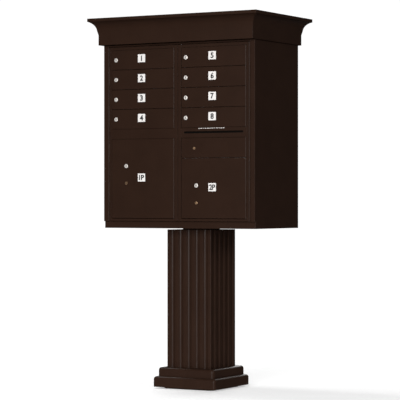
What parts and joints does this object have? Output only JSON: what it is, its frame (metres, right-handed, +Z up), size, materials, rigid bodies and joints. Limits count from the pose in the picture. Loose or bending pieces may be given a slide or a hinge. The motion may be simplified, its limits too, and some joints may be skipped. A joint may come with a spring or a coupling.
{
  "type": "cluster mailbox unit",
  "caption": "Pedestal-mounted cluster mailbox with locking tenant and parcel doors, an outgoing-mail slot, a crown cap and a fluted pillar cover.",
  "frame": {"origin": "centre of the base plate's underside, on the pedestal's axis", "axes": "+Z up, +X to the right seen from the front, +Y to the back"},
  "size_m": [0.864, 0.5375, 1.6618],
  "materials": {
    "bronze_paint": "satin dark bronze powder coat",
    "bronze_aluminium": "satin dark bronze powder coat",
    "lock_chrome": "satin nickel-chrome",
    "brass": "satin, slightly aged",
    "mill_aluminium": "mill finish",
    "plated_steel": "zinc plated",
    "label_plastic": "printed white vinyl"
  },
  "bodies": {
    "root": {"pedestal_base_plate": "bronze_paint", "pedestal_post": "bronze_paint", "cabinet_bolts": "plated_steel", "pillar_cover_left": "bronze_aluminium", "pillar_cover_right": "bronze_aluminium", "base_cover_left": "bronze_aluminium", "base_cover_right": "bronze_aluminium", "cover_screws": "plated_steel", "bottom_pan": "bronze_aluminium", "side_panel_left": "bronze_aluminium", "side_panel_right": "bronze_aluminium", "back_panel": "bronze_aluminium", "roof_panel": "bronze_aluminium", "crown_cap": "bronze_aluminium", "centre_partition": "mill_aluminium", "shelves": "mill_aluminium", "loading_hinges": "bronze_paint"},
    "loading_door_left": {"loading_door_left": "bronze_aluminium", "hinge_rod_left": "plated_steel"},
    "loading_door_right": {"loading_door_right": "bronze_aluminium", "hinge_rods_right": "plated_steel"},
    "tenant_door_1": {"door_1": "bronze_aluminium", "lock_1": "lock_chrome"},
    "cam_1": {"cam_1": "plated_steel"},
    "tenant_door_2": {"door_2": "bronze_aluminium", "lock_2": "lock_chrome"},
    "cam_2": {"cam_2": "plated_steel"},
    "tenant_door_3": {"door_3": "bronze_aluminium", "lock_3": "lock_chrome"},
    "cam_3": {"cam_3": "plated_steel"},
    "tenant_door_4": {"door_4": "bronze_aluminium", "lock_4": "lock_chrome"},
    "cam_4": {"cam_4": "plated_steel"},
    "tenant_door_5": {"door_5": "bronze_aluminium", "lock_5": "lock_chrome"},
    "cam_5": {"cam_5": "plated_steel"},
    "tenant_door_6": {"door_6": "bronze_aluminium", "lock_6": "lock_chrome"},
    "cam_6": {"cam_6": "plated_steel"},
    "tenant_door_7": {"door_7": "bronze_aluminium", "lock_7": "lock_chrome"},
    "cam_7": {"cam_7": "plated_steel"},
    "tenant_door_8": {"door_8": "bronze_aluminium", "lock_8": "lock_chrome"},
    "cam_8": {"cam_8": "plated_steel"},
    "parcel_door_1": {"parcel_door_1": "bronze_aluminium", "parcel_locks_1": "lock_chrome"},
    "parcel_key_cam_1": {"parcel_key_cam_1": "plated_steel"},
    "parcel_carrier_cam_1": {"parcel_carrier_cam_1": "plated_steel"},
    "parcel_door_2": {"parcel_door_2": "bronze_aluminium", "parcel_locks_2": "lock_chrome"},
    "parcel_key_cam_2": {"parcel_key_cam_2": "plated_steel"},
    "parcel_carrier_cam_2": {"parcel_carrier_cam_2": "plated_steel"},
    "mail_door": {"mail_door": "bronze_aluminium", "mail_lock": "brass"},
    "mail_bolt": {"mail_bolt": "plated_steel"},
    "slot_flap": {"slot_flap": "bronze_aluminium"},
    "latch_handle": {"latch_handle": "plated_steel"},
    "latch_rod_upper": {"latch_rod_upper": "plated_steel"},
    "latch_rod_lower": {"latch_rod_lower": "plated_steel"}
  },
  "joints": [
    {"name": "loading_door_left_swing", "type": "hinge", "parent": "root", "child": "loading_door_left", "pos_m": [-0.3605, -0.21, 1.14], "axis": [0, 0, -1], "range_deg": [0, 110]},
    {"name": "loading_door_right_swing", "type": "hinge", "parent": "root", "child": "loading_door_right", "pos_m": [0.3605, -0.21, 1.14], "axis": [0, 0, 1], "range_deg": [0, 110]},
    {"name": "door_1_swing", "type": "hinge", "parent": "loading_door_left", "child": "tenant_door_1", "pos_m": [-0.0215, -0.2075, 1.4747], "axis": [0, 0, 1], "range_deg": [0, 90]},
    {"name": "cam_1_turn", "type": "hinge", "parent": "tenant_door_1", "child": "cam_1", "pos_m": [-0.3212, -0.192, 1.4747], "axis": [0, 1, 0], "range_deg": [0, 90]},
    {"name": "door_2_swing", "type": "hinge", "parent": "loading_door_left", "child": "tenant_door_2", "pos_m": [-0.0215, -0.2075, 1.3858], "axis": [0, 0, 1], "range_deg": [0, 90]},
    {"name": "cam_2_turn", "type": "hinge", "parent": "tenant_door_2", "child": "cam_2", "pos_m": [-0.3212, -0.192, 1.3858], "axis": [0, 1, 0], "range_deg": [0, 90]},
    {"name": "door_3_swing", "type": "hinge", "parent": "loading_door_left", "child": "tenant_door_3", "pos_m": [-0.0215, -0.2075, 1.2969], "axis": [0, 0, 1], "range_deg": [0, 90]},
    {"name": "cam_3_turn", "type": "hinge", "parent": "tenant_door_3", "child": "cam_3", "pos_m": [-0.3212, -0.192, 1.2969], "axis": [0, 1, 0], "range_deg": [0, 90]},
    {"name": "door_4_swing", "type": "hinge", "parent": "loading_door_left", "child": "tenant_door_4", "pos_m": [-0.0215, -0.2075, 1.208], "axis": [0, 0, 1], "range_deg": [0, 90]},
    {"name": "cam_4_turn", "type": "hinge", "parent": "tenant_door_4", "child": "cam_4", "pos_m": [-0.3212, -0.192, 1.208], "axis": [0, 1, 0], "range_deg": [0, 90]},
    {"name": "door_5_swing", "type": "hinge", "parent": "loading_door_right", "child": "tenant_door_5", "pos_m": [0.3415, -0.2075, 1.4747], "axis": [0, 0, 1], "range_deg": [0, 90]},
    {"name": "cam_5_turn", "type": "hinge", "parent": "tenant_door_5", "child": "cam_5", "pos_m": [0.0418, -0.192, 1.4747], "axis": [0, 1, 0], "range_deg": [0, 90]},
    {"name": "door_6_swing", "type": "hinge", "parent": "loading_door_right", "child": "tenant_door_6", "pos_m": [0.3415, -0.2075, 1.3858], "axis": [0, 0, 1], "range_deg": [0, 90]},
    {"name": "cam_6_turn", "type": "hinge", "parent": "tenant_door_6", "child": "cam_6", "pos_m": [0.0418, -0.192, 1.3858], "axis": [0, 1, 0], "range_deg": [0, 90]},
    {"name": "door_7_swing", "type": "hinge", "parent": "loading_door_right", "child": "tenant_door_7", "pos_m": [0.3415, -0.2075, 1.2969], "axis": [0, 0, 1], "range_deg": [0, 90]},
    {"name": "cam_7_turn", "type": "hinge", "parent": "tenant_door_7", "child": "cam_7", "pos_m": [0.0418, -0.192, 1.2969], "axis": [0, 1, 0], "range_deg": [0, 90]},
    {"name": "door_8_swing", "type": "hinge", "parent": "loading_door_right", "child": "tenant_door_8", "pos_m": [0.3415, -0.2075, 1.208], "axis": [0, 0, 1], "range_deg": [0, 90]},
    {"name": "cam_8_turn", "type": "hinge", "parent": "tenant_door_8", "child": "cam_8", "pos_m": [0.0418, -0.192, 1.208], "axis": [0, 1, 0], "range_deg": [0, 90]},
    {"name": "parcel_door_1_swing", "type": "hinge", "parent": "loading_door_left", "child": "parcel_door_1", "pos_m": [-0.0215, -0.2075, 0.92], "axis": [0, 0, 1], "range_deg": [0, 90]},
    {"name": "parcel_key_cam_1_turn", "type": "hinge", "parent": "parcel_door_1", "child": "parcel_key_cam_1", "pos_m": [-0.2676, -0.192, 0.9977], "axis": [0, 1, 0], "range_deg": [0, 90]},
    {"name": "parcel_carrier_cam_1_turn", "type": "hinge", "parent": "parcel_door_1", "child": "parcel_carrier_cam_1", "pos_m": [-0.2676, -0.192, 0.9207], "axis": [0, 1, 0], "range_deg": [0, 90]},
    {"name": "parcel_door_2_swing", "type": "hinge", "parent": "loading_door_right", "child": "parcel_door_2", "pos_m": [0.3415, -0.2075, 0.92], "axis": [0, 0, 1], "range_deg": [0, 90]},
    {"name": "parcel_key_cam_2_turn", "type": "hinge", "parent": "parcel_door_2", "child": "parcel_key_cam_2", "pos_m": [0.0954, -0.192, 0.9091], "axis": [0, 1, 0], "range_deg": [0, 90]},
    {"name": "parcel_carrier_cam_2_turn", "type": "hinge", "parent": "parcel_door_2", "child": "parcel_carrier_cam_2", "pos_m": [0.0954, -0.192, 0.8321], "axis": [0, 1, 0], "range_deg": [0, 90]},
    {"name": "mail_door_swing", "type": "hinge", "parent": "loading_door_right", "child": "mail_door", "pos_m": [0.3415, -0.2075, 1.0747], "axis": [0, 0, 1], "range_deg": [0, 90]},
    {"name": "mail_bolt_slide", "type": "slide", "parent": "mail_door", "child": "mail_bolt", "axis": [-1, 0, 0], "range_m": [0, 0.014]},
    {"name": "slot_flap_swing", "type": "hinge", "parent": "loading_door_right", "child": "slot_flap", "pos_m": [0.18, -0.2014, 1.1545], "axis": [1, 0, 0], "range_deg": [0, 60]},
    {"name": "latch_handle_turn", "type": "hinge", "parent": "loading_door_right", "child": "latch_handle", "pos_m": [0.0095, -0.1875, 1.0746], "axis": [0, 1, 0], "range_deg": [0, 90]},
    {"name": "latch_rod_upper_slide", "type": "slide", "parent": "loading_door_right", "child": "latch_rod_upper", "axis": [0, 0, 1], "range_m": [0, 0.01]},
    {"name": "latch_rod_lower_slide", "type": "slide", "parent": "loading_door_right", "child": "latch_rod_lower", "axis": [0, 0, -1], "range_m": [0, 0.01]}
  ],
  "couplings": [
    {"joint": "latch_rod_upper_slide", "follows": "latch_handle_turn", "m_per_rad": 0.00636},
    {"joint": "latch_rod_lower_slide", "follows": "latch_handle_turn", "m_per_rad": 0.00636}
  ]
}
